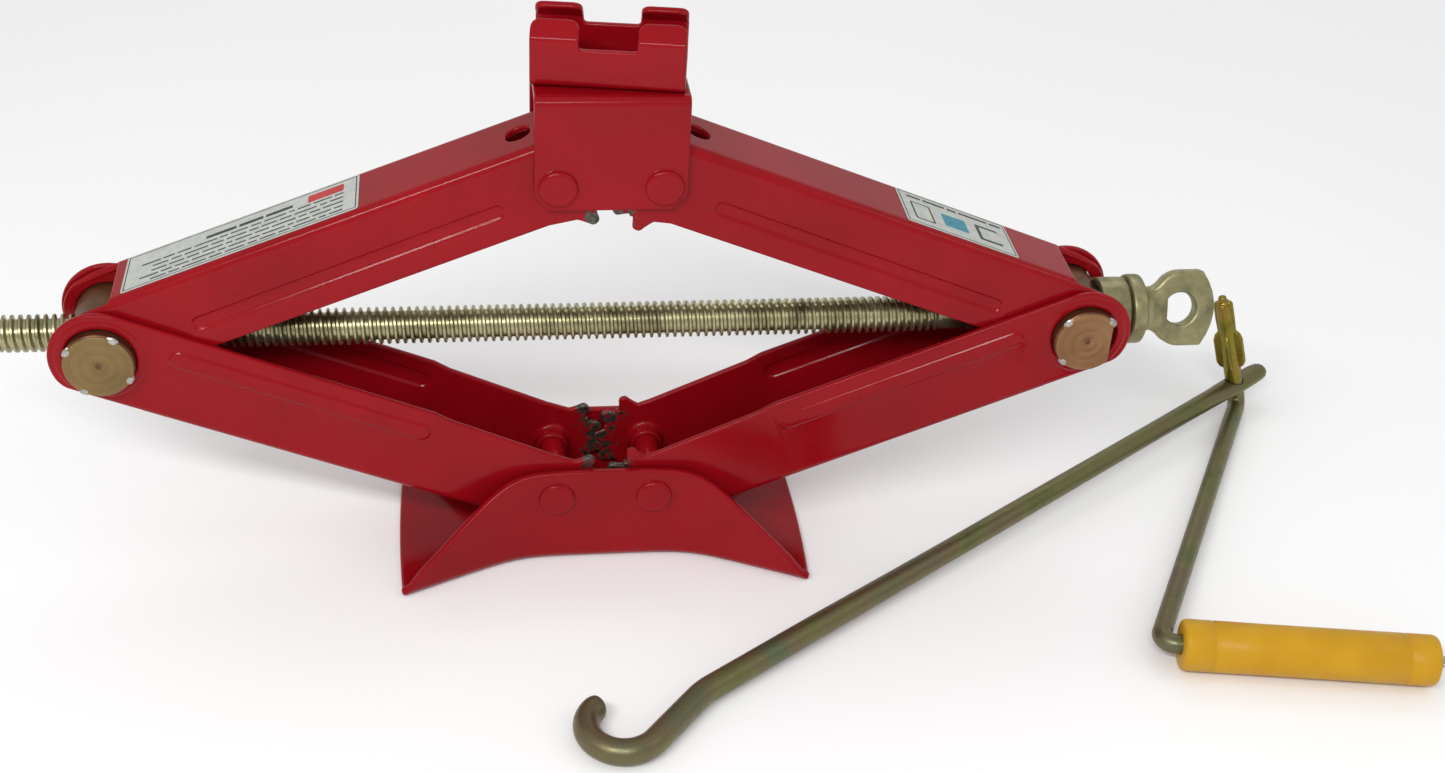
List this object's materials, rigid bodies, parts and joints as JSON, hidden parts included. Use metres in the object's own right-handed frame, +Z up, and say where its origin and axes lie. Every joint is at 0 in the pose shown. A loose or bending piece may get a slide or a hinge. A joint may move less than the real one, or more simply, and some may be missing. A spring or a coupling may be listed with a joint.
{
  "type": "scissor car jack",
  "caption": "Scissor jack, partly raised: toothed channel arms, flared base, swivelling saddle, lead screw with eye, and a separate hooked crank handle.",
  "frame": {"origin": "on the floor under the middle of the base, centred between the two base pivots", "axes": "+X along the lead screw towards its eye, +Y along the pivots, away from the side the handle lies on, +Z up"},
  "size_m": [0.5351, 0.2257, 0.2221],
  "materials": {
    "red_paint": "thick gloss deep red paint",
    "yellow_zinc": "yellow-passivated zinc, slightly iridescent",
    "rod_zinc": "olive-gold passivated zinc, iridescent",
    "pin_steel": "turned steel with thin yellow passivation",
    "bearing_steel": "ground, greased",
    "yellow_plastic": "smooth moulded plastic, worn satin",
    "sticker": "white gloss label, blank bars only"
  },
  "bodies": {
    "base": {"base_plate": "red_paint", "base_rivet_left": "red_paint", "base_rivet_right": "red_paint"},
    "lower_left": {"lower_arm_left": "red_paint"},
    "lower_right": {"lower_arm_right": "red_paint"},
    "upper_left": {"upper_arm_left": "red_paint", "label_left": "sticker"},
    "upper_right": {"upper_arm_right": "red_paint", "label_right": "sticker"},
    "head": {"head_bracket": "red_paint", "head_rivet_left": "red_paint", "head_rivet_right": "red_paint", "saddle_rivet": "red_paint"},
    "saddle": {"saddle": "red_paint"},
    "nut": {"trunnion_nut": "pin_steel"},
    "thrust": {"trunnion_thrust": "pin_steel", "bearing_washer_inner": "bearing_steel"},
    "screw": {"lead_screw": "yellow_zinc", "screw_eye": "yellow_zinc", "bearing_shell": "yellow_zinc", "bearing_washer_outer": "bearing_steel", "bearing_balls": "bearing_steel"},
    "handle": {"hook_rod": "rod_zinc"},
    "crank": {"crank_rod": "rod_zinc"},
    "grip": {"crank_grip": "yellow_plastic"}
  },
  "joints": [
    {"name": "lift", "type": "hinge", "parent": "base", "child": "lower_left", "pos_m": [-0.019, 0, 0.03], "axis": [0, 1, 0], "range_deg": [-16, 38]},
    {"name": "base_right_pivot", "type": "hinge", "parent": "base", "child": "lower_right", "pos_m": [0.019, 0, 0.03], "axis": [0, 1, 0], "range_deg": [-38, 16]},
    {"name": "left_knee", "type": "hinge", "parent": "lower_left", "child": "upper_left", "pos_m": [-0.18404, 0, 0.09668], "axis": [0, 1, 0], "range_deg": [-76, 32]},
    {"name": "nut_pivot", "type": "hinge", "parent": "lower_left", "child": "nut", "pos_m": [-0.18404, 0, 0.09668], "axis": [0, 1, 0], "range_deg": [-38, 16]},
    {"name": "head_left_pivot", "type": "hinge", "parent": "upper_left", "child": "head", "pos_m": [-0.019, 0, 0.16336], "axis": [0, 1, 0], "range_deg": [-16, 38]},
    {"name": "head_right_pivot", "type": "hinge", "parent": "head", "child": "upper_right", "pos_m": [0.019, 0, 0.16336], "axis": [0, 1, 0], "range_deg": [-16, 38]},
    {"name": "thrust_pivot", "type": "hinge", "parent": "lower_right", "child": "thrust", "pos_m": [0.18404, 0, 0.09668], "axis": [0, 1, 0], "range_deg": [-16, 38]},
    {"name": "screw_spin", "type": "hinge", "parent": "thrust", "child": "screw", "pos_m": [0.18404, 0, 0.09668], "axis": [1, 0, 0], "continuous": true},
    {"name": "saddle_swivel", "type": "hinge", "parent": "head", "child": "saddle", "pos_m": [0, 0, 0.19816], "axis": [0, 0, 1], "continuous": true},
    {"name": "handle_away", "type": "slide", "parent": "base", "child": "handle", "axis": [0, -1, 0], "range_m": [0, 0.15]},
    {"name": "crank_fold", "type": "hinge", "parent": "handle", "child": "crank", "pos_m": [0.2952, 0.067, 0.0038], "axis": [-0.3067, 0, 0.9518], "range_deg": [0, 80]},
    {"name": "grip_spin", "type": "hinge", "parent": "crank", "child": "grip", "pos_m": [0.2035, -0.1002, 0.0098], "axis": [0.9864, -0.1644, 0], "continuous": true}
  ],
  "couplings": [
    {"joint": "base_right_pivot", "follows": "lift", "ratio": -1},
    {"joint": "left_knee", "follows": "lift", "ratio": -2},
    {"joint": "nut_pivot", "follows": "lift", "ratio": -1},
    {"joint": "head_left_pivot", "follows": "lift", "ratio": 1},
    {"joint": "head_right_pivot", "follows": "lift", "ratio": 1},
    {"joint": "thrust_pivot", "follows": "lift", "ratio": 1}
  ]
}
